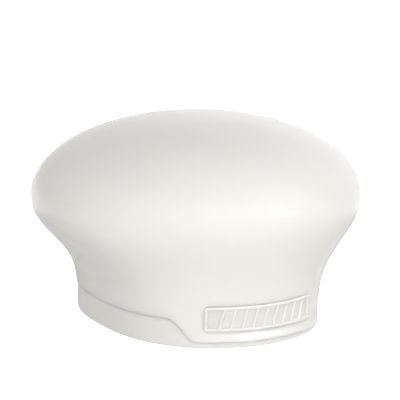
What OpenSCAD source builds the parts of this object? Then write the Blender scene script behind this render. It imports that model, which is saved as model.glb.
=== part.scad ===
// Soft silicone diffuser dome for a camera flash.
// Origin: middle of the oval foot, on the plane it stands on. +Z is up.
// X runs along the long axis of the foot, and the relief is on the +X end. The front long side faces -Y.
// All lengths are in millimetres.

/* [Dome] */
// Diameter of the round belly
dome_d = 110.5; // [106:0.5:116]
// Height over all
dome_h = 68.4; // [64:0.1:74]
// Height at which the belly is widest
widest_h = 42; // [39:0.5:44]
// Wall thickness, measured square to the wall
wall_t = 2.4; // [2:0.1:2.8]

/* [Neck] */
// Height at which the neck begins to flare
flare_low = 3; // [2:0.25:4]
// How long the neck stays slim before it flares
flare_hold = 3.26; // [2.6:0.02:3.6]
// How roundly the flare turns into the belly
flare_turn = 3; // [2.5:0.05:3.4]

/* [Foot] */
// Length of the oval foot along X
base_len = 95.6; // [92:0.2:99]
// Width of the oval foot along Y
base_wid = 73.4; // [72:0.2:78]
// Fullness of the oval along its length (2 is an ellipse)
oval_long = 2.57; // [2.3:0.01:2.8]
// Fullness of the oval across its width (2 is an ellipse)
oval_wide = 1.97; // [1.9:0.01:2.1]
// Height of the magnet housings on the long sides
pad_h = 9.2; // [8.8:0.1:10]
// Height of the lip round the short ends
lip_h = 2.2; // [1.8:0.1:2.8]
// Depth of the foot's outer face behind the skirt above it
pad_recess = 0.2; // [0.2:0.1:0.6]
// Distance from the middle to where the housing edge begins to fall
pad_half = 34; // [32:0.5:35]
// Length over which the housing edge falls to the lip
pad_fall = 7.2; // [5:0.2:8]

// How far the skirt kicks out at the short ends
kick_out = 0.5; // [0:0.1:0.6]
// Height at which that kick begins
kick_h = 5.5; // [4:0.1:5.5]

/* [Light opening] */
// Length of the opening in the foot
opening_len = 74; // [70:1:75]
// Width of the opening in the foot
opening_wid = 52; // [48:1:52]
// Corner radius of the opening
opening_r = 14; // [13:0.5:18]

/* [Magnets] */
// Length of one magnet
magnet_len = 20; // [16:0.5:20]
// Thickness of one magnet across the wall
magnet_t = 3; // [2:0.25:3]
// Height of one magnet
magnet_h = 5; // [4:0.25:5]
// Space between the two magnets of a side
magnet_gap = 6; // [4:0.5:7]
// Thickness of the steel keeper bar above a pair
keeper_t = 1; // [0.6:0.1:1.2]

/* [Relief] */
// Width of the raised bar on the +X end
relief_wid = 37.6; // [30:0.4:39]
// Lower edge of the raised bar
relief_low = 5.9; // [5:0.1:6.5]
// Upper edge of the raised bar
relief_high = 13.8; // [12:0.1:14.2]
// How far the bar stands proud of the neck
relief_proud = 0.8; // [0.5:0.1:1]
// Number of slanted ribs in the bar
rib_count = 9; // [5:1:12]

/* [Hidden] */
// Points round each ring
around = 80;
// Rings in the skirt, in the flare and in the cap
skirt_rings = 3;
flare_rings = 12;
cap_rings = 11;
// Semi-axes
dome_r = dome_d / 2;
half_len = base_len / 2;
half_wid = base_wid / 2;
// Powers of cosine and sine that give the oval
power_x = 2 / oval_long;
power_y = 2 / oval_wide;
// First full ring above the housings
skirt_top = pad_h + 1;
// Average outward travel of the flare
flare_out = dome_r - (half_len + half_wid) / 2;
// Gap left between the relief's back and the neck's straight part
relief_seat = 0.2;
// Line width of the relief's outline
relief_line = 0.9;
// Silicone left under a carrier, and between a carrier and the opening
carrier_skin = 0.9;
carrier_side = 0.8;
// Wall and floor thickness of a carrier
carrier_wall = 0.6;
// Heights of the magnets, the keeper bars and the pocket covers
magnet_z = carrier_skin + carrier_wall;
keeper_z = magnet_z + magnet_h;
cover_z = keeper_z + keeper_t;
// Half length of a keeper bar and of a carrier
keeper_half = magnet_gap / 2 + magnet_len;
carrier_half = keeper_half + carrier_wall;
// Distance of a carrier from the middle plane, and its depth
carrier_y = opening_wid / 2 + carrier_side;
carrier_t = magnet_t + 2 * carrier_wall;
// Overrun that makes cuts clear a face
over = 1;

silicone_white = [0.93, 0.93, 0.91];
silicone_thick = [0.88, 0.88, 0.86];
nickel = [0.72, 0.72, 0.70];
steel = [0.55, 0.56, 0.58];
tray_grey = [0.30, 0.31, 0.33];

// Power that keeps the sign of its base
function signed_pow(v, e) = sign(v) * pow(abs(v), e);
// Smooth step from 0 to 1
function ease(v) = let (c = min(max(v, 0), 1)) c * c * (3 - 2 * c);
// Fraction of the way up the flare
function up(z) = min(max((z - flare_low) / (widest_h - flare_low), 0), 1);
// Share of the change from the oval foot to the round belly
function share(z) = 1 - pow(1 - pow(up(z), flare_hold), flare_turn);
// Rate of that change with height
function share_rate(z) = let (u = up(z))
    flare_turn * pow(1 - pow(u, flare_hold), flare_turn - 1) * flare_hold
    * pow(u, flare_hold - 1) / (widest_h - flare_low);
// Inward distance that keeps the wall even where it slopes
function inward(z, t) = t * sqrt(1 + pow(flare_out * share_rate(z), 2));

// Outward kick of the skirt's lowest part
function kick(z) = kick_out * max(0, (kick_h - z) / (kick_h - lip_h));

// Point of the outer skin at height z, moved inward by d
function skin(a, z, d) = let (s = share(z),
        rx = half_len + (dome_r - half_len) * s + kick(z) - d,
        ry = half_wid + (dome_r - half_wid) * s + kick(z) - d)
    [rx * signed_pow(cos(a), power_x + (1 - power_x) * s),
     ry * signed_pow(sin(a), power_y + (1 - power_y) * s),
     z];
// Point of the cap at elevation e, moved inward by d
function cap(a, e, d) = [(dome_r - d) * cos(e) * cos(a), (dome_r - d) * cos(e) * sin(a),
    widest_h + (dome_h - d - widest_h) * sin(e)];
// Lower edge of the skirt: low at the short ends, above the housing on the long sides
function edge_z(a) = let (x = half_len * abs(signed_pow(cos(a), power_x)))
    pad_h - (pad_h - lip_h) * ease((x - pad_half) / pad_fall);
// Height of skirt ring j at angle a
function skirt_z(a, j) = edge_z(a) + (skirt_top - edge_z(a)) * j / skirt_rings;
function angle(i) = 360 * i / around;
// Plain oval outline moved inward by d
function oval(d) = [for (i = [0 : around - 1])
    [(half_len - d) * signed_pow(cos(angle(i)), power_x),
     (half_wid - d) * signed_pow(sin(angle(i)), power_y)]];

// Rings of one skin, from the skirt's edge to just below the top point
function skin_rings(t) = concat(
    [for (j = [0 : skirt_rings - 1]) [for (i = [0 : around - 1])
        let (z = skirt_z(angle(i), j)) skin(angle(i), z, inward(z, t))]],
    [for (j = [0 : flare_rings]) let (z = skirt_top + (widest_h - skirt_top) * j / flare_rings)
        [for (i = [0 : around - 1]) skin(angle(i), z, inward(z, t))]],
    [for (j = [1 : cap_rings - 1]) [for (i = [0 : around - 1])
        cap(angle(i), 90 * j / cap_rings, t)]]);
function flat_list(rings) = [for (r = rings) for (p = r) p];

module shell() {
    rings_out = skin_rings(0);
    rings_in = skin_rings(wall_t);
    n = len(rings_out);
    first_in = n * around;
    top_out = 2 * n * around;
    top_in = top_out + 1;
    points = concat(flat_list(rings_out), flat_list(rings_in),
        [[0, 0, dome_h]], [[0, 0, dome_h - wall_t]]);
    faces = concat(
        [for (j = [0 : n - 2]) for (i = [0 : around - 1]) let (k = (i + 1) % around)
            [j * around + i, (j + 1) * around + i, j * around + k]],
        [for (j = [0 : n - 2]) for (i = [0 : around - 1]) let (k = (i + 1) % around)
            [j * around + k, (j + 1) * around + i, (j + 1) * around + k]],
        [for (j = [0 : n - 2]) for (i = [0 : around - 1]) let (k = (i + 1) % around)
            [first_in + j * around + i, first_in + j * around + k, first_in + (j + 1) * around + i]],
        [for (j = [0 : n - 2]) for (i = [0 : around - 1]) let (k = (i + 1) % around)
            [first_in + j * around + k, first_in + (j + 1) * around + k, first_in + (j + 1) * around + i]],
        [for (i = [0 : around - 1]) let (k = (i + 1) % around)
            [(n - 1) * around + i, top_out, (n - 1) * around + k]],
        [for (i = [0 : around - 1]) let (k = (i + 1) % around)
            [first_in + (n - 1) * around + k, top_in, first_in + (n - 1) * around + i]],
        [for (i = [0 : around - 1]) let (k = (i + 1) % around) [i, k, first_in + i]],
        [for (i = [0 : around - 1]) let (k = (i + 1) % around) [k, first_in + k, first_in + i]]);
    polyhedron(points, faces, convexity = 6);
}

module diffuser_dome() color(silicone_white) shell();

// Parallelogram rib across the bar
module rib(y) {
    slant = 1.6;
    thick = 0.8;
    low = relief_low + relief_line;
    high = relief_high - relief_line;
    polygon([[y - slant / 2, low], [y - slant / 2 + thick, low],
             [y + slant / 2 + thick, high], [y + slant / 2, high]]);
}

// The relief's drawing in the plane of Y and Z
module relief_drawing() {
    inner_wid = relief_wid - 2 * relief_line;
    difference() {
        translate([-relief_wid / 2, relief_low]) square([relief_wid, relief_high - relief_low]);
        translate([-inner_wid / 2, relief_low + relief_line])
            square([inner_wid, relief_high - relief_low - 2 * relief_line]);
    }
    for (i = [1 : rib_count]) rib(-inner_wid / 2 + inner_wid * i / (rib_count + 1));
}

module badge_relief() color(silicone_white) intersection() {
    linear_extrude(dome_h / 2) difference() {
        polygon(oval(-relief_proud));
        polygon(oval(-relief_seat));
    }
    rotate([90, 0, 90]) linear_extrude(dome_r) relief_drawing();
}

// Side view of the foot: housing height in the middle, falling to the lip at both ends
module foot_side() {
    steps = 12;
    fall = [for (i = [0 : steps]) let (x = pad_half + pad_fall * i / steps)
        [x, pad_h - (pad_h - lip_h) * ease(i / steps)]];
    polygon(concat([[-half_len, 0], [half_len, 0], [half_len, lip_h]],
        [for (i = [steps : -1 : 0]) fall[i]],
        [for (i = [0 : steps]) [-fall[i][0], fall[i][1]]],
        [[-half_len, lip_h]]));
}

module opening() linear_extrude(pad_h + 2 * over) {
    sx = opening_len / 2 - opening_r;
    sy = opening_wid / 2 - opening_r;
    square([2 * sx, opening_wid], center = true);
    square([opening_len, 2 * sy], center = true);
    for (x = [-sx, sx]) for (y = [-sy, sy]) translate([x, y]) circle(r = opening_r, $fn = 64);
}

module base_frame() color(silicone_thick) difference() {
    union() {
        linear_extrude(pad_h) polygon(oval(wall_t));
        intersection() {
            linear_extrude(pad_h) polygon(oval(pad_recess));
            translate([0, base_wid, 0]) rotate([90, 0, 0]) linear_extrude(2 * base_wid) foot_side();
        }
    }
    translate([0, 0, -over]) opening();
    for (side = [-1, 1]) pocket(side, pad_h - carrier_skin + over);
}

// Block over a carrier's plan, of a given height, on side -1 or 1
module pocket(side, height) {
    y = side > 0 ? carrier_y : -carrier_y - carrier_t;
    translate([-carrier_half, y, carrier_skin]) cube([2 * carrier_half, carrier_t, height]);
}

// Block magnet: side is -1 in front or 1 at the back, hand is -1 or 1 along X
module magnet(side, hand) {
    x = hand > 0 ? magnet_gap / 2 : -magnet_gap / 2 - magnet_len;
    y = side * (carrier_y + carrier_t / 2) - magnet_t / 2;
    translate([x, y, magnet_z]) cube([magnet_len, magnet_t, magnet_h]);
}

module keeper(side) {
    y = side * (carrier_y + carrier_t / 2) - magnet_t / 2;
    translate([-keeper_half, y, keeper_z]) cube([2 * keeper_half, magnet_t, keeper_t]);
}

module carrier(side) difference() {
    pocket(side, cover_z - carrier_skin);
    magnet(side, -1);
    magnet(side, 1);
    keeper(side);
}

module pocket_cover(side) {
    y = side > 0 ? carrier_y : -carrier_y - carrier_t;
    translate([-carrier_half, y, cover_z]) cube([2 * carrier_half, carrier_t, pad_h - cover_z]);
}

module carrier_front() color(tray_grey) carrier(-1);
module carrier_back() color(tray_grey) carrier(1);
module magnet_front_left() color(nickel) magnet(-1, -1);
module magnet_front_right() color(nickel) magnet(-1, 1);
module magnet_back_left() color(nickel) magnet(1, -1);
module magnet_back_right() color(nickel) magnet(1, 1);
module keeper_front() color(steel) keeper(-1);
module keeper_back() color(steel) keeper(1);
module pocket_cover_front() color(silicone_thick) pocket_cover(-1);
module pocket_cover_back() color(silicone_thick) pocket_cover(1);

diffuser_dome();
badge_relief();
base_frame();
carrier_front();
carrier_back();
magnet_front_left();
magnet_front_right();
magnet_back_left();
magnet_back_right();
keeper_front();
keeper_back();
pocket_cover_front();
pocket_cover_back();
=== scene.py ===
import math

import bpy
import numpy as np
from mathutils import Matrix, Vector


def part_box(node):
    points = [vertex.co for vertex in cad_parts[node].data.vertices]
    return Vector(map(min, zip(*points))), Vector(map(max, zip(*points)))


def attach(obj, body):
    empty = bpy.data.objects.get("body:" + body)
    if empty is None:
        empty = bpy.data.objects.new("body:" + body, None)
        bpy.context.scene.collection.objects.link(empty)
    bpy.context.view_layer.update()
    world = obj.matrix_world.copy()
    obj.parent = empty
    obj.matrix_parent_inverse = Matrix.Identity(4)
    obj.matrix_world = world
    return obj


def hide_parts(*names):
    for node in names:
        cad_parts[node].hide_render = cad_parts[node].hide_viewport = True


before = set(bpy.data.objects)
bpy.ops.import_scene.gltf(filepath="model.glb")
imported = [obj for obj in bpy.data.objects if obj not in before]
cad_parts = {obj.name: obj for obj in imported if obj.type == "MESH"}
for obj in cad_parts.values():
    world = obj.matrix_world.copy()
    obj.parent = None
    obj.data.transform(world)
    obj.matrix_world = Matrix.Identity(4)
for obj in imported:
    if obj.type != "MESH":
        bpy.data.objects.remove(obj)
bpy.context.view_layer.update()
MM = 0.001

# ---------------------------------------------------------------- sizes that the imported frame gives
dome_lo, dome_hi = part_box("diffuser_dome")
foot_lo, foot_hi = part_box("base_frame")
relief_lo, relief_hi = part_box("badge_relief")
RECESS = 0.2 * MM  # as in part.scad: how far the foot's side lies inside the skirt's outline
DOME_R = (dome_hi.x - dome_lo.x) / 2
TOP = dome_hi.z
HALF_LEN = (foot_hi.x - foot_lo.x) / 2 + RECESS
HALF_WID = (foot_hi.y - foot_lo.y) / 2 + RECESS
PAD_H = foot_hi.z
LIP_H = dome_lo.z

# ---------------------------------------------------------------- sizes that repeat those of part.scad
WALL = 2.4 * MM
WIDEST = 42 * MM  # height at which the belly is widest
KICK_OUT, KICK_H = 0.5 * MM, 5.5 * MM  # outward kick of the skirt, and the height at which it begins
FLARE_LOW = 3 * MM  # height at which the neck begins to flare
HOLD, TURN = 3.26, 3.0  # exponents of the flare
POWER_X, POWER_Y = 2 / 2.57, 2 / 1.97  # exponents of the foot's oval
PAD_HALF, PAD_FALL = 34 * MM, 7.2 * MM  # half length of a housing's top, and run of its slanted ends
OPEN_LEN, OPEN_WID, OPEN_R = 74 * MM, 52 * MM, 14 * MM  # rounded opening of the foot
FLARE_OUT = DOME_R - (HALF_LEN + HALF_WID) / 2

# ---------------------------------------------------------------- fine sizes of the visible pieces only
KICK_SOFT = 0.5 * MM  # height over which the kick is eased in
SKIRT_TOP = PAD_H + 1.0 * MM  # above this the dome's rings are level
SEAM = 0.02 * MM  # fine gap that keeps neighbouring pieces apart
SPACING_Z = 8 * MM  # height at which the outline is divided evenly
AROUND = 320  # points round each ring


# ---------------------------------------------------------------- the dome's skin as a formula
def spow(v, e):
    """Power that keeps the sign."""
    return np.sign(v) * np.abs(v) ** e


def ease(v):
    """Smooth step from 0 to 1."""
    c = np.clip(v, 0, 1)
    return c * c * (3 - 2 * c)


def up(z):
    """Share of the way from the flare's start up to the widest height."""
    return np.clip((z - FLARE_LOW) / (WIDEST - FLARE_LOW), 0, 1)


def share(z):
    """Share of the way from the foot's oval out to the round belly."""
    return 1 - (1 - up(z) ** HOLD) ** TURN


def share_rate(z):
    """Change of that share with height."""
    u = up(z)
    return TURN * (1 - u**HOLD) ** (TURN - 1) * HOLD * u ** (HOLD - 1) / (WIDEST - FLARE_LOW)


def inward(z, t):
    """Level distance that leaves a wall of thickness t where the skin slopes."""
    return t * np.sqrt(1 + (FLARE_OUT * share_rate(z)) ** 2)


def kick(z):
    """Outward kick of the skirt's lowest part, eased in where it begins."""
    low = KICK_H - z
    run = np.where(low > KICK_SOFT, low - KICK_SOFT / 2, np.maximum(low, 0) ** 2 / (2 * KICK_SOFT))
    return KICK_OUT * run / (KICK_H - LIP_H - KICK_SOFT / 2)


def skin(a, z, d):
    """Points of the skin at angle a and height z, moved inward by d."""
    s = share(z)
    rx = HALF_LEN + (DOME_R - HALF_LEN) * s + kick(z) - d
    ry = HALF_WID + (DOME_R - HALF_WID) * s + kick(z) - d
    x = rx * spow(np.cos(a), POWER_X + (1 - POWER_X) * s)
    y = ry * spow(np.sin(a), POWER_Y + (1 - POWER_Y) * s)
    return np.stack([x, y, z + 0 * a], -1)


def oval(a, z, d):
    """Outline of the foot at height z, moved inward by d; its sides are straight."""
    x = (HALF_LEN - d) * spow(np.cos(a), POWER_X)
    y = (HALF_WID - d) * spow(np.sin(a), POWER_Y)
    return np.stack([x, y, z + 0 * a], -1)


def cap(a, e, d):
    """Ring of the cap above the widest height, at angle e above it, moved inward by d."""
    r = (DOME_R - d) * math.cos(e)
    z = WIDEST + (TOP - d - WIDEST) * math.sin(e)
    return np.stack([r * np.cos(a), r * np.sin(a), z + 0 * a], -1)


def edge_z(a):
    """Height of the skirt's lower edge, which rises over the housings of the long sides."""
    x = HALF_LEN * np.abs(np.cos(a)) ** POWER_X
    return PAD_H - (PAD_H - LIP_H) * ease((x - PAD_HALF) / PAD_FALL)


def even_angles(n):
    """Angles that divide the skin's outline evenly at SPACING_Z."""
    t = np.linspace(0, 2 * math.pi, 7201)
    p = skin(t, 0 * t + SPACING_Z, 0)
    run = np.concatenate([[0], np.cumsum(np.linalg.norm(np.diff(p, axis=0), axis=1))])
    return np.interp(np.linspace(0, run[-1], n, endpoint=False), run, t)


def quarter(steps):
    """Angles of a quarter turn in even steps, both ends included."""
    return [math.radians(90 * q / steps) for q in range(steps + 1)]


A = even_angles(AROUND)


# ---------------------------------------------------------------- mesh helpers
def make(name, verts, faces, material):
    """New smooth-shaded piece with a material."""
    mesh = bpy.data.meshes.new(name)
    mesh.from_pydata([tuple(map(float, v)) for v in verts], [], faces)
    mesh.validate()
    mesh.update()
    for p in mesh.polygons:
        p.use_smooth = True
    obj = bpy.data.objects.new(name, mesh)
    bpy.context.scene.collection.objects.link(obj)
    mesh.materials.append(material)
    return obj


def loft(rings, closed_loop=False, first_pole=None, last_pole=None):
    """Vertices and faces through rings of equal length; a pole is a point that closes an end."""
    n = len(rings[0])
    verts = [p for r in rings for p in r]
    faces = []
    m = len(rings)
    for j in range(m if closed_loop else m - 1):
        k = (j + 1) % m
        for i in range(n):
            i2 = (i + 1) % n
            faces.append((j * n + i, j * n + i2, k * n + i2, k * n + i))
    if last_pole is not None:
        verts.append(last_pole)
        p = len(verts) - 1
        faces += [((m - 1) * n + i, (m - 1) * n + (i + 1) % n, p) for i in range(n)]
    if first_pole is not None:
        verts.append(first_pole)
        p = len(verts) - 1
        faces += [(i, p, (i + 1) % n) for i in range(n)]
    return verts, faces


# ---------------------------------------------------------------- materials
def material(name, color, roughness, **sockets):
    """New material, its node tree and its main shader; sockets sets further inputs by name."""
    mat = bpy.data.materials.new(name)
    mat.use_nodes = True
    nt = mat.node_tree
    bsdf = nt.nodes["Principled BSDF"]
    bsdf.inputs["Base Color"].default_value = (*color, 1)
    bsdf.inputs["Roughness"].default_value = roughness
    for key, value in sockets.items():
        bsdf.inputs[key.replace("_", " ")].default_value = value
    return mat, nt, bsdf


def node(nt, kind, **values):
    """New node; each value goes to the input, or else the property, of that name."""
    n = nt.nodes.new(kind)
    for key, value in values.items():
        if key in n.inputs.keys():
            n.inputs[key].default_value = value
        else:
            setattr(n, key, value)
    return n


def noise(nt, scale, detail=3, rough=0.55, stretch=None):
    """Noise over the object's own coordinates, scale features to a metre."""
    coord = node(nt, "ShaderNodeTexCoord")
    out = coord.outputs["Object"]
    if stretch:
        mapping = node(nt, "ShaderNodeMapping")
        mapping.inputs["Scale"].default_value = stretch
        nt.links.new(out, mapping.inputs["Vector"])
        out = mapping.outputs["Vector"]
    tex = node(nt, "ShaderNodeTexNoise")
    tex.inputs["Scale"].default_value = scale
    tex.inputs["Detail"].default_value = detail
    tex.inputs["Roughness"].default_value = rough
    nt.links.new(out, tex.inputs["Vector"])
    return tex.outputs["Fac"]


def spread(nt, source, low, high, to_low, to_high):
    """Source mapped from one range to another."""
    m = node(nt, "ShaderNodeMapRange")
    m.inputs["From Min"].default_value = low
    m.inputs["From Max"].default_value = high
    m.inputs["To Min"].default_value = to_low
    m.inputs["To Max"].default_value = to_high
    nt.links.new(source, m.inputs["Value"])
    return m.outputs["Result"]


def two_tone(nt, source, a, b):
    """Colour between a and b."""
    mix = node(nt, "ShaderNodeMix", data_type="RGBA")
    mix.inputs["A"].default_value = (*a, 1)
    mix.inputs["B"].default_value = (*b, 1)
    nt.links.new(source, mix.inputs["Factor"])
    return mix.outputs["Result"]


def bump(nt, bsdf, layers):
    """Bump from layers of (height, strength, distance), one over the other."""
    last = None
    for source, strength, distance in layers:
        b = node(nt, "ShaderNodeBump")
        b.inputs["Strength"].default_value = strength
        b.inputs["Distance"].default_value = distance
        nt.links.new(source, b.inputs["Height"])
        if last:
            nt.links.new(last, b.inputs["Normal"])
        last = b.outputs["Normal"]
    nt.links.new(last, bsdf.inputs["Normal"])


POLISH_LOW, POLISH_HIGH = 5.6 * MM, 7.5 * MM  # heights between which the polished strip fades out
PATCHY = 0.03  # how far the roughness of silicone strays either way


def silicone(name, light, shade, roughness, depth, polish=None, radius=(1.0, 0.96, 0.86)):
    """Milky silicone; polish is the roughness of the bright moulded strip at the skirt's bottom."""
    mat, nt, bsdf = material(name, light, roughness, IOR=1.41)
    bsdf.inputs["Subsurface Weight"].default_value = 1.0
    bsdf.inputs["Subsurface Radius"].default_value = radius
    bsdf.inputs["Subsurface Scale"].default_value = depth
    bsdf.subsurface_method = "RANDOM_WALK"
    cloud = spread(nt, noise(nt, 38, 2, 0.5), 0.3, 0.7, 0, 1)
    nt.links.new(two_tone(nt, cloud, light, shade), bsdf.inputs["Base Color"])
    patches = spread(nt, noise(nt, 60, 4, 0.6), 0.3, 0.7, roughness - PATCHY, roughness + PATCHY)
    if polish:
        height = node(nt, "ShaderNodeSeparateXYZ")
        nt.links.new(node(nt, "ShaderNodeTexCoord").outputs["Object"], height.inputs["Vector"])
        fade = spread(nt, height.outputs["Z"], POLISH_LOW, POLISH_HIGH, polish / roughness, 1)
        scale = node(nt, "ShaderNodeMath", operation="MULTIPLY")
        nt.links.new(patches, scale.inputs[0])
        nt.links.new(fade, scale.inputs[1])
        patches = scale.outputs["Value"]
    nt.links.new(patches, bsdf.inputs["Roughness"])
    swell = noise(nt, 70, 2, 0.5)
    grain = noise(nt, 3200, 2, 0.5)
    bump(nt, bsdf, [(swell, 0.25, 0.15 * MM), (grain, 0.10, 0.02 * MM)])
    return mat


SILICONE_THIN = silicone(
    "silicone_thin_mat",
    light=(0.77, 0.757, 0.728),
    shade=(0.755, 0.742, 0.712),
    roughness=0.23,
    depth=3.5 * MM,
    polish=0.1,
)
# Base colour set darker than the dome's silicone: painted shade for the foot in the skirt's shadow; the cover
# strips use it too
SILICONE_THICK_PAINTED_SHADE = silicone(
    "silicone_thick_painted_shade_mat",
    light=(0.735, 0.723, 0.696),
    shade=(0.72, 0.708, 0.68),
    roughness=0.2,
    depth=3.0 * MM,
)
# Base colour set darker than the dome's silicone: painted shade for the occlusion that greys the relief's
# sunken panels
SILICONE_RELIEF_PAINTED_SHADE = silicone(
    "silicone_relief_painted_shade_mat",
    light=(0.70, 0.692, 0.671),
    shade=(0.685, 0.677, 0.656),
    roughness=0.23,
    depth=1.2 * MM,
    radius=(1.0, 1.0, 1.0),
)


# ---------------------------------------------------------------- the dome moulding
def build_dome():
    """One skin from the pole inside, down to the skirt's edge, and up the outside to the pole."""
    edge = edge_z(A)
    outer_r, inner_r = 0.1 * MM, 0.3 * MM
    skirt_steps, neck_steps, cap_steps = 8, 64, 60
    inner_skirt_steps, inner_neck_steps, inner_cap_steps = 6, 40, 36

    inner = []
    for j in range(inner_skirt_steps + 1):
        z = (edge + inner_r) + (SKIRT_TOP - edge - inner_r) * j / inner_skirt_steps
        inner.append(skin(A, z, inward(z, WALL)))
    for j in range(1, inner_neck_steps + 1):
        z = SKIRT_TOP + (WIDEST - SKIRT_TOP) * j / inner_neck_steps
        inner.append(skin(A, z + 0 * A, inward(z, WALL)))
    for e in quarter(inner_cap_steps)[1:-1]:
        inner.append(cap(A, e, WALL))

    # a fine groove inside the skirt's edge, out of sight from outside
    groove = [skin(A, edge + inner_r * (1 - math.cos(e)), WALL - inner_r * math.sin(e)) for e in quarter(4)]

    outer = [skin(A, edge + outer_r * (1 - math.cos(e)), outer_r * (1 - math.sin(e))) for e in quarter(6)]
    for j in range(1, skirt_steps + 1):
        outer.append(skin(A, (edge + outer_r) + (SKIRT_TOP - edge - outer_r) * j / skirt_steps, 0))
    for j in range(1, neck_steps + 1):
        z = SKIRT_TOP + (WIDEST - SKIRT_TOP) * j / neck_steps
        outer.append(skin(A, z + 0 * A, 0))
    for e in quarter(cap_steps)[1:-1]:
        outer.append(cap(A, e, 0))

    rings = inner[::-1] + groove[::-1] + outer
    verts, faces = loft(rings, first_pole=(0, 0, TOP - WALL), last_pole=(0, 0, TOP))
    return make("dome_skin", verts, faces, SILICONE_THIN)


dome = build_dome()
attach(dome, "root")
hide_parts("diffuser_dome")


# ---------------------------------------------------------------- the foot
def opening_point(x, y, grow=0.0):
    """Points of the rounded opening's outline in the directions of x, y, found by halving."""
    hx, hy, r = OPEN_LEN / 2 + grow, OPEN_WID / 2 + grow, OPEN_R + grow
    d = np.stack([x, y], -1) / np.hypot(x, y)[:, None]
    lo, hi = np.zeros(len(x)), np.full(len(x), hx + hy)
    for _ in range(40):
        mid = (lo + hi) / 2
        px, py = np.abs(d[:, 0] * mid), np.abs(d[:, 1] * mid)
        qx, qy = px - (hx - r), py - (hy - r)
        dist = np.hypot(np.maximum(qx, 0), np.maximum(qy, 0)) + np.minimum(np.maximum(qx, qy), 0) - r
        lo, hi = np.where(dist < 0, mid, lo), np.where(dist < 0, hi, mid)
    return d * lo[:, None]


def build_foot():
    """Closed ring: up the outside, in under the dome's wall, across the top and down the opening."""
    edge = edge_z(A)
    outer_r, mouth_r = 0.8 * MM, 0.6 * MM
    side_steps, step_steps = 6, 3
    flat = oval(A, 0 * A, RECESS + outer_r)

    def mouth(grow, z):
        p = opening_point(flat[:, 0], flat[:, 1], grow)
        return np.concatenate([p, (z + 0 * A)[:, None]], 1)

    rings = []
    for e in quarter(5):
        rings.append(oval(A, 0 * A + outer_r * (1 - math.cos(e)), RECESS + outer_r * (1 - math.sin(e))))
    for j in range(1, side_steps + 1):
        rings.append(oval(A, outer_r + (edge - SEAM - outer_r) * j / side_steps, RECESS))
    for j in range(step_steps + 1):
        rings.append(oval(A, edge - SEAM + (PAD_H - edge) * j / step_steps, WALL + SEAM))
    rings.append(mouth(mouth_r, PAD_H))
    for e in quarter(4)[1:]:
        rings.append(mouth(mouth_r * (1 - math.sin(e)), PAD_H - mouth_r * (1 - math.cos(e))))
    for e in quarter(4):
        rings.append(mouth(mouth_r * (1 - math.cos(e)), mouth_r * (1 - math.sin(e))))
    verts, faces = loft(rings, closed_loop=True)
    # the foot's darker material is painted shade for the foot under the skirt
    return make("foot_ring", verts, faces, SILICONE_THICK_PAINTED_SHADE)


foot = build_foot()
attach(foot, "root")
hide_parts("base_frame")


# ---------------------------------------------------------------- the relief on the short end
def relief_surface(y, z):
    """X of the neck's skin, without the kick, at y and z of the short end."""
    s = share(z)
    rx = HALF_LEN + (DOME_R - HALF_LEN) * s
    ry = HALF_WID + (DOME_R - HALF_WID) * s
    sine = (np.abs(y) / ry) ** (1 / (POWER_Y + (1 - POWER_Y) * s))
    return rx * np.sqrt(1 - sine**2) ** (POWER_X + (1 - POWER_X) * s)


def relief_height(y, z):
    """Height over the skin of a plain outlined bar with slanted ribs."""
    line, thick = 0.9 * MM, 0.8 * MM  # width of the outline and of a rib
    proud, sunk, root = 0.8 * MM, 0.28 * MM, -0.06 * MM  # heights of the bar, its panel and its surroundings
    soft = 0.16 * MM  # width of each soft edge
    corner, inner_corner = 0.9 * MM, 0.4 * MM
    slant = 1.6 * MM  # how far a rib leans from bottom to top
    count = 9
    mid_y, mid_z = (relief_lo.y + relief_hi.y) / 2, (relief_lo.z + relief_hi.z) / 2
    half_y, half_z = (relief_hi.y - relief_lo.y) / 2, (relief_hi.z - relief_lo.z) / 2

    def box_dist(half_y, half_z, r):
        qy, qz = np.abs(y - mid_y) - (half_y - r), np.abs(z - mid_z) - (half_z - r)
        return np.hypot(np.maximum(qy, 0), np.maximum(qz, 0)) + np.minimum(np.maximum(qy, qz), 0) - r

    outside = box_dist(half_y, half_z, corner)
    inside = box_dist(half_y - line, half_z - line, inner_corner)
    width = 2 * (half_y - line)
    lean = slant * ((z - mid_z) / (2 * (half_z - line)))
    ribs = np.full(y.shape, 1.0)
    for i in range(1, count + 1):
        rib_y = mid_y - width / 2 + width * i / (count + 1)
        ribs = np.minimum(ribs, np.abs(y - (rib_y + thick / 2 + lean)) - thick / 2)
    solid = 1 - ease((outside + soft / 2) / soft)
    hollow = (1 - ease((inside + soft / 2) / soft)) * ease((ribs + soft / 2) / soft)
    return root + (proud - root) * solid - (proud - sunk) * hollow


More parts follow.
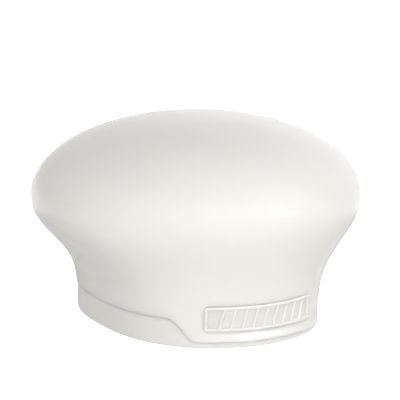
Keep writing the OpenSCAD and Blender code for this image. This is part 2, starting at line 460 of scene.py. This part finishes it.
def build_relief():
    """Closed sheet: the relief in front, laid on the neck's skin, and a plain back inside the wall."""
    margin, step, back_depth = 0.5 * MM, 0.11 * MM, 0.6 * MM
    ys = np.arange(relief_lo.y - margin, relief_hi.y + margin + step / 2, step)
    zs = np.arange(relief_lo.z - margin, relief_hi.z + margin + step / 2, step)
    y, z = np.meshgrid(ys, zs, indexing="ij")

    probe = 0.05 * MM
    x = relief_surface(y, z)
    slope_y = (relief_surface(y + probe, z) - relief_surface(y - probe, z)) / (2 * probe)
    slope_z = (relief_surface(y, z + probe) - relief_surface(y, z - probe)) / (2 * probe)
    normal = np.stack([np.ones_like(x), -slope_y, -slope_z], -1)
    normal /= np.linalg.norm(normal, axis=-1, keepdims=True)
    on_skin = np.stack([x, y, z], -1)
    front = on_skin + normal * relief_height(y, z)[..., None]
    back = on_skin - normal * back_depth
    verts = np.concatenate([front.reshape(-1, 3), back.reshape(-1, 3)])

    ny, nz = y.shape
    off = ny * nz
    faces = []
    for j in range(ny - 1):
        for k in range(nz - 1):
            a, b, c, d = j * nz + k, (j + 1) * nz + k, (j + 1) * nz + k + 1, j * nz + k + 1
            faces.append((a, b, c, d))
            faces.append((off + d, off + c, off + b, off + a))
    border = (
        [(j, 0) for j in range(ny)]
        + [(ny - 1, k) for k in range(1, nz)]
        + [(j, nz - 1) for j in range(ny - 2, -1, -1)]
        + [(0, k) for k in range(nz - 2, 0, -1)]
    )
    idx = [j * nz + k for j, k in border]
    for p, q in zip(idx, idx[1:] + idx[:1]):
        faces.append((p, off + p, off + q, q))
    # the relief's darker material is painted shade of its sunken panels
    return make("relief_bar", verts, faces, SILICONE_RELIEF_PAINTED_SHADE)


relief = build_relief()
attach(relief, "root")
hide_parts("badge_relief")


# ---------------------------------------------------------------- inner parts
def dress(name, mat, edge):
    """Softened edges and a material for a CAD node that stays."""
    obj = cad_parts[name]
    mod = obj.modifiers.new("soft_edges", "BEVEL")
    mod.width = edge
    mod.segments = 3
    mod.limit_method = "ANGLE"
    obj.data.materials.clear()
    obj.data.materials.append(mat)


def textured(parts, tone, light, shade, texture, rough_low, rough_high, strength, height):
    """Two tones, a roughness that follows a texture, and the texture's bump."""
    mat, nt, bsdf = parts
    nt.links.new(two_tone(nt, tone, light, shade), bsdf.inputs["Base Color"])
    nt.links.new(spread(nt, texture, 0.3, 0.7, rough_low, rough_high), bsdf.inputs["Roughness"])
    bump(nt, bsdf, [(texture, strength, height)])
    return mat


def nickel():
    parts = material("nickel_mat", (0.72, 0.69, 0.63), 0.16, Metallic=1.0)
    nt = parts[1]
    tone = spread(nt, noise(nt, 160, 3), 0.35, 0.65, 0, 1)
    swirl = noise(nt, 900, 3, 0.6)
    look = dict(rough_low=0.12, rough_high=0.26, strength=0.15, height=0.02 * MM)
    return textured(parts, tone, (0.74, 0.71, 0.65), (0.64, 0.61, 0.56), swirl, **look)


def keeper_steel():
    parts = material("keeper_mat", (0.55, 0.56, 0.58), 0.3, Metallic=1.0)
    nt = parts[1]
    brush = noise(nt, 700, 4, 0.6, (0.06, 1.0, 1.0))
    tone = spread(nt, brush, 0.3, 0.7, 0, 1)
    look = dict(rough_low=0.24, rough_high=0.4, strength=0.3, height=0.03 * MM)
    return textured(parts, tone, (0.58, 0.59, 0.61), (0.44, 0.45, 0.47), brush, **look)


def tray_plastic():
    parts = material("tray_mat", (0.03, 0.03, 0.033), 0.55)
    nt = parts[1]
    tone = spread(nt, noise(nt, 220, 3), 0.3, 0.7, 0, 1)
    fleck = noise(nt, 1800, 3, 0.6)
    look = dict(rough_low=0.48, rough_high=0.66, strength=0.35, height=0.04 * MM)
    return textured(parts, tone, (0.035, 0.035, 0.038), (0.022, 0.022, 0.025), fleck, **look)


NICKEL, KEEPER, TRAY = nickel(), keeper_steel(), tray_plastic()
for side in ("front", "back"):
    for hand in ("left", "right"):
        dress(f"magnet_{side}_{hand}", NICKEL, 0.25 * MM)
    dress(f"keeper_{side}", KEEPER, 0.12 * MM)
    dress(f"carrier_{side}", TRAY, 0.08 * MM)


def build_cover(name, cad):
    """Soft strip with a slightly crowned top, in the space of its CAD solid."""
    lo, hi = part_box(cad)
    centre = (lo + hi) / 2
    half_x, half_y = (hi.x - lo.x) / 2, (hi.y - lo.y) / 2
    edge_r = 0.5 * MM
    crown_low, crown_rise, crown_steps = hi.z - 0.25 * MM, 0.24 * MM, 4
    inmost = 0.9  # share of the half width that the flat ends of the loft reach inward
    corner_power = 0.25
    t = np.linspace(0, 2 * math.pi, 96, endpoint=False)

    def loop(inset, z):
        ux, uy = spow(np.cos(t), corner_power), spow(np.sin(t), corner_power)
        return np.stack([centre.x + (half_x - inset) * ux, centre.y + (half_y - inset) * uy, z + 0 * t], -1)

    rings = [loop(inmost * half_y, lo.z), loop(SEAM, lo.z)]
    for e in quarter(5):
        rings.append(loop(edge_r * (1 - math.cos(e)) + SEAM, crown_low - edge_r + edge_r * math.sin(e)))
    for q, e in enumerate(quarter(crown_steps)[1:], 1):
        inset = edge_r + (half_y - edge_r) * inmost * q / crown_steps
        rings.append(loop(inset, crown_low + crown_rise * math.sin(e)))
    verts, faces = loft(rings)
    n = len(t)
    faces.append(tuple(range(n - 1, -1, -1)))
    faces.append(tuple(range((len(rings) - 1) * n, len(rings) * n)))
    obj = make(name, verts, faces, SILICONE_THICK_PAINTED_SHADE)
    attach(obj, "root")
    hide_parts(cad)


build_cover("cover_strip_front", "pocket_cover_front")
build_cover("cover_strip_back", "pocket_cover_back")

# ---------------------------------------------------------------- floor
def build_floor(radius=6, corners=64):
    """White floor: pure white to the eye, with a faint glow round the object and a far one in reflections."""
    mesh = bpy.data.meshes.new("floor")
    turn = np.linspace(0, 2 * math.pi, corners, endpoint=False)
    ring = [(radius * math.cos(t), radius * math.sin(t), 0) for t in turn]
    mesh.from_pydata(ring, [], [tuple(range(corners))])
    floor = bpy.data.objects.new("floor", mesh)
    bpy.context.scene.collection.objects.link(floor)
    mat, nt, bsdf = material("floor_mat", (0.88, 0.88, 0.88), 0.6)
    bsdf.inputs["Emission Color"].default_value = (1, 1, 1, 1)
    bsdf.inputs["Specular IOR Level"].default_value = 0
    seen = node(nt, "ShaderNodeLightPath")
    span = node(nt, "ShaderNodeVectorMath", operation="LENGTH")
    nt.links.new(node(nt, "ShaderNodeTexCoord").outputs["Object"], span.inputs[0])

    def by_distance(start, end, near, far):
        """Value that goes from near to far between two distances from the object's axis."""
        ramp = node(nt, "ShaderNodeMapRange", interpolation_type="SMOOTHSTEP")
        ramp.inputs["From Min"].default_value = start
        ramp.inputs["From Max"].default_value = end
        ramp.inputs["To Min"].default_value = near
        ramp.inputs["To Max"].default_value = far
        nt.links.new(span.outputs["Value"], ramp.inputs["Value"])
        return ramp.outputs["Result"]

    def add_for(ray, amount, base):
        """Base plus an amount that only one kind of ray meets."""
        total = node(nt, "ShaderNodeMath", operation="MULTIPLY_ADD")
        nt.links.new(seen.outputs[ray], total.inputs[0])
        if isinstance(amount, float):
            total.inputs[1].default_value = amount
        else:
            nt.links.new(amount, total.inputs[1])
        nt.links.new(base, total.inputs[2])
        return total.outputs["Value"]

    near_glow = by_distance(0.12, 0.165, near=0.104, far=0)
    far_glow = by_distance(0.138, 0.158, near=0, far=0.8)
    shining = add_for("Is Glossy Ray", far_glow, near_glow)
    nt.links.new(add_for("Is Camera Ray", 1.0, shining), bsdf.inputs["Emission Strength"])
    mesh.materials.append(mat)


build_floor()


# ---------------------------------------------------------------- world and lights
def toward(azimuth, elevation):
    a, e = math.radians(azimuth), math.radians(elevation)
    return Vector((math.sin(a) * math.cos(e), -math.cos(a) * math.cos(e), math.sin(e)))


GLOW_CORE, GLOW_EDGE = math.radians(8), math.radians(40)  # where a glow begins to fade and where it ends


def build_world(glows, even, seen_level):
    """White surroundings: seen_level for the eye, and for reflections an even level with soft glows.

    A glow is (azimuth, elevation, strength)."""
    world = bpy.data.worlds.new("studio")
    bpy.context.scene.world = world
    world.use_nodes = True
    nt = world.node_tree
    path = node(nt, "ShaderNodeLightPath")
    direction = node(nt, "ShaderNodeTexCoord").outputs["Generated"]
    total = spread(nt, path.outputs["Is Glossy Ray"], 0, 1, 0, even)
    for azimuth, elevation, strength in glows:
        dot = node(nt, "ShaderNodeVectorMath", operation="DOT_PRODUCT")
        nt.links.new(direction, dot.inputs[0])
        dot.inputs[1].default_value = toward(azimuth, elevation)
        lobe = node(nt, "ShaderNodeMapRange", interpolation_type="SMOOTHSTEP")
        lobe.inputs["From Min"].default_value = math.cos(GLOW_EDGE)
        lobe.inputs["From Max"].default_value = math.cos(GLOW_CORE)
        lobe.inputs["To Max"].default_value = strength
        nt.links.new(dot.outputs["Value"], lobe.inputs["Value"])
        add = node(nt, "ShaderNodeMath", operation="MULTIPLY_ADD")
        nt.links.new(lobe.outputs["Result"], add.inputs[0])
        nt.links.new(path.outputs["Is Glossy Ray"], add.inputs[1])
        nt.links.new(total, add.inputs[2])
        total = add.outputs["Value"]
    add = node(nt, "ShaderNodeMath", operation="MULTIPLY_ADD")
    nt.links.new(path.outputs["Is Camera Ray"], add.inputs[0])
    add.inputs[1].default_value = seen_level
    nt.links.new(total, add.inputs[2])
    background = nt.nodes["Background"]
    background.inputs["Color"].default_value = (1, 1, 1, 1)
    nt.links.new(add.outputs["Value"], background.inputs["Strength"])


build_world([(63, 15, 0.65), (115, 15, 0.8), (215, 15, 0.45)], even=1.05, seen_level=1.2)

CENTRE = Vector((0, 0, 33.6 * MM))  # point that the camera and the softboxes face


def softbox(name, azimuth, elevation, distance, width, height, power, mirrored=False):
    """Area light that faces the object, in degrees, metres and watts.

    A mirrored one only shows in reflections, the others only give light."""
    back = toward(azimuth, elevation)
    light = bpy.data.lights.new(name, "AREA")
    light.shape = "RECTANGLE"
    light.size, light.size_y = width, height
    light.energy = power
    obj = bpy.data.objects.new(name, light)
    bpy.context.scene.collection.objects.link(obj)
    obj.location = CENTRE + back * distance
    obj.rotation_mode = "QUATERNION"
    obj.rotation_quaternion = (-back).to_track_quat("-Z", "Y")
    obj.visible_camera = False
    obj.visible_glossy = mirrored
    obj.visible_diffuse = not mirrored
    return obj


softbox("front", 63, 30, 1.3, 0.7, 0.7, 12.8)
softbox("front_low", 63, 12, 1.2, 0.5, 0.3, 1.8)
softbox("right_front", 150, 30, 1.3, 0.7, 0.7, 3.9)
softbox("right_back", 180, 30, 1.3, 0.7, 0.7, 1.7)
softbox("right_high", 120, 60, 1.2, 0.6, 0.6, 2.2)
softbox("back_low", 240, 12, 1.2, 0.5, 0.3, 5.2)
softbox("left_low", 290, 12, 1.2, 0.5, 0.3, 4.3)
softbox("belly_window", 125, 6, 1.2, 0.14, 0.09, 1.2, mirrored=True)


def skirt_light(azimuth, power, distance=0.2):
    """Small gridded light near the floor, mirrored at the bottom of the skirt's short end."""
    target = Vector((HALF_LEN, 0, 4 * MM))
    light = softbox("skirt_light", azimuth, 0, 1, 0.06, 0.022, power, mirrored=True)
    light.data.spread = math.radians(32)
    light.location = target + toward(azimuth, 2) * distance
    light.rotation_quaternion = (-toward(azimuth, 9)).to_track_quat("-Z", "Y")


for azimuth in (95.5, 112.5, 129.5):
    skirt_light(azimuth, 0.003)

# ---------------------------------------------------------------- camera
def build_camera(azimuth, elevation, distance, lens, shift):
    """Camera that faces CENTRE; lens in millimetres, shift in shares of the picture's width."""
    cam = bpy.data.cameras.new("camera")
    camera = bpy.data.objects.new("camera", cam)
    bpy.context.scene.collection.objects.link(camera)
    bpy.context.scene.camera = camera
    back = toward(azimuth, elevation)
    camera.location = CENTRE + back * distance
    camera.rotation_mode = "QUATERNION"
    camera.rotation_quaternion = (-back).to_track_quat("-Z", "Y")
    cam.sensor_width = 36
    cam.lens = lens
    cam.shift_x, cam.shift_y = shift
    cam.clip_start, cam.clip_end = 0.01, 100


build_camera(62.82, 12.16, 672.7 * MM, lens=179.856, shift=(0.010375, 0.0375))

bpy.context.scene.view_settings.view_transform = "Standard"
bpy.context.scene.view_settings.look = "None"
